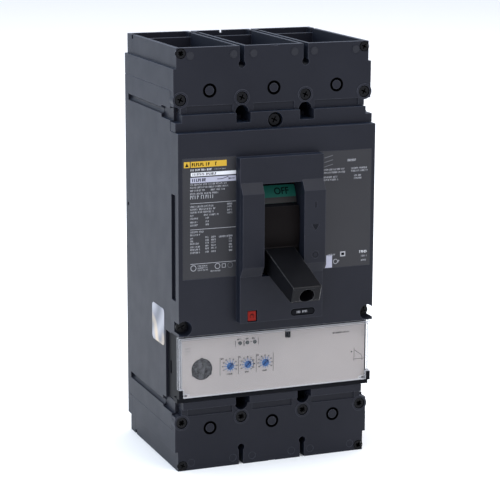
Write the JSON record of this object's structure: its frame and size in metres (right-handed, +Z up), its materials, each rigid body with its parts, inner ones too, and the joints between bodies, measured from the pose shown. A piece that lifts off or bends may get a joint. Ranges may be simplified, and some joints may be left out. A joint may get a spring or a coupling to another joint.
{
  "type": "molded case circuit breaker",
  "caption": "Three-pole molded case circuit breaker with toggle handle, electronic trip unit under a hinged clear cover, and box terminals behind deep housings.",
  "frame": {"origin": "centre of the flat back mounting face", "axes": "+Z up along the case, the front with the toggle faces -Y, +X to the right seen from the front"},
  "size_m": [0.141, 0.1592, 0.285],
  "materials": {
    "case_plastic": "fine moulded texture, satin",
    "black_plastic": "moulded, satin",
    "handle_plastic": "semi-gloss moulded",
    "shutter_plastic": "satin moulded",
    "cartridge_plastic": "glass-filled, matt",
    "rotor_plastic": "glass-filled, matt",
    "copper": "rolled, lightly oxidised",
    "steel": "zinc plated",
    "dark_steel": "black oxide",
    "lug_metal": "extruded and tin plated",
    "fibre_board": "fibre board",
    "face_plastic": "printed, matt",
    "port_plastic": "moulded, matt",
    "blue_plastic": "moulded",
    "green_plastic": "printed, satin",
    "red_plastic": "moulded",
    "lamp_plastic": "moulded lens",
    "clear_plastic": "clear moulded",
    "label_film": "printed film",
    "sticker_film": "silver film",
    "board_plastic": "solder mask",
    "coil_plastic": "cast resin"
  },
  "bodies": {
    "case": {"rear_case": "case_plastic", "front_case": "case_plastic", "front_cover": "case_plastic", "top_terminal_housing": "case_plastic", "bottom_terminal_housing": "case_plastic", "top_rear_barrier": "case_plastic", "bottom_rear_barrier": "case_plastic", "housing_screws": "dark_steel", "corner_screws": "dark_steel", "cover_screws": "dark_steel", "access_plugs": "case_plastic", "line_contacts": "copper", "load_contacts": "copper", "line_lugs": "lug_metal", "load_lugs": "lug_metal", "lug_screws": "steel", "pole_cartridge_left": "cartridge_plastic", "pole_cartridge_middle": "cartridge_plastic", "pole_cartridge_right": "cartridge_plastic", "arc_plates": "steel", "arc_chute_frames": "fibre_board", "mechanism_side_plates": "steel", "mechanism_pins": "steel", "trip_unit_case": "black_plastic", "trip_faceplate": "face_plastic", "test_port_plug": "port_plastic", "status_lamps": "lamp_plastic", "seal_latch": "black_plastic", "cover_hinge_clips": "black_plastic", "current_transformers": "coil_plastic", "circuit_board": "board_plastic", "trip_actuator": "steel", "button_spring": "steel", "rating_plate": "black_plastic", "left_label": "label_film", "right_label": "label_film", "side_sticker": "sticker_film"},
    "toggle": {"toggle_yoke": "steel", "toggle_drum": "black_plastic", "toggle_shutter": "shutter_plastic", "toggle_handle": "handle_plastic", "off_flag": "green_plastic", "main_springs": "steel"},
    "contact_shaft": {"rotor_left": "rotor_plastic", "rotor_middle": "rotor_plastic", "rotor_right": "rotor_plastic", "contact_arm_left": "copper", "contact_arm_middle": "copper", "contact_arm_right": "copper", "drive_rods": "steel"},
    "drive_links": {"drive_links": "steel"},
    "trip_bar": {"trip_bar": "black_plastic", "trip_lever": "steel"},
    "trip_button": {"trip_button": "red_plastic"},
    "dial_left": {"dial_left": "blue_plastic"},
    "dial_middle": {"dial_middle": "blue_plastic"},
    "dial_right": {"dial_right": "blue_plastic"},
    "clear_cover": {"clear_cover": "clear_plastic"}
  },
  "joints": [
    {"name": "toggle_swing", "type": "hinge", "parent": "case", "child": "toggle", "pos_m": [0, -0.06, 0.022], "axis": [-1, 0, 0], "range_deg": [0, 40]},
    {"name": "contact_turn", "type": "hinge", "parent": "case", "child": "contact_shaft", "pos_m": [0, -0.028, 0], "axis": [1, 0, 0], "range_deg": [0, 40]},
    {"name": "link_turn", "type": "hinge", "parent": "contact_shaft", "child": "drive_links", "pos_m": [0, -0.03681, 0.00739], "axis": [-1, 0, 0], "range_deg": [0, 40]},
    {"name": "trip_button_press", "type": "slide", "parent": "case", "child": "trip_button", "axis": [0, 1, 0], "range_m": [0, 0.003], "stiffness_N_per_m": 400, "springref_m": -0.002, "deforming": ["button_spring"]},
    {"name": "trip_bar_turn", "type": "hinge", "parent": "case", "child": "trip_bar", "pos_m": [0, -0.082, -0.045], "axis": [-1, 0, 0], "range_deg": [0, 19]},
    {"name": "dial_left_turn", "type": "hinge", "parent": "case", "child": "dial_left", "pos_m": [-0.0324, -0.103, -0.0711], "axis": [0, -1, 0], "range_deg": [-135, 135]},
    {"name": "dial_middle_turn", "type": "hinge", "parent": "case", "child": "dial_middle", "pos_m": [-0.0197, -0.103, -0.0711], "axis": [0, -1, 0], "range_deg": [-135, 135]},
    {"name": "dial_right_turn", "type": "hinge", "parent": "case", "child": "dial_right", "pos_m": [-0.007, -0.103, -0.0711], "axis": [0, -1, 0], "range_deg": [-135, 135]},
    {"name": "clear_cover_open", "type": "hinge", "parent": "case", "child": "clear_cover", "pos_m": [0, -0.1076, -0.0882], "axis": [1, 0, 0], "range_deg": [0, 100]}
  ],
  "couplings": [
    {"joint": "contact_turn", "follows": "toggle_swing", "ratio": 1},
    {"joint": "link_turn", "follows": "toggle_swing", "ratio": 1},
    {"joint": "trip_bar_turn", "follows": "trip_button_press", "rad_per_m": 110}
  ]
}
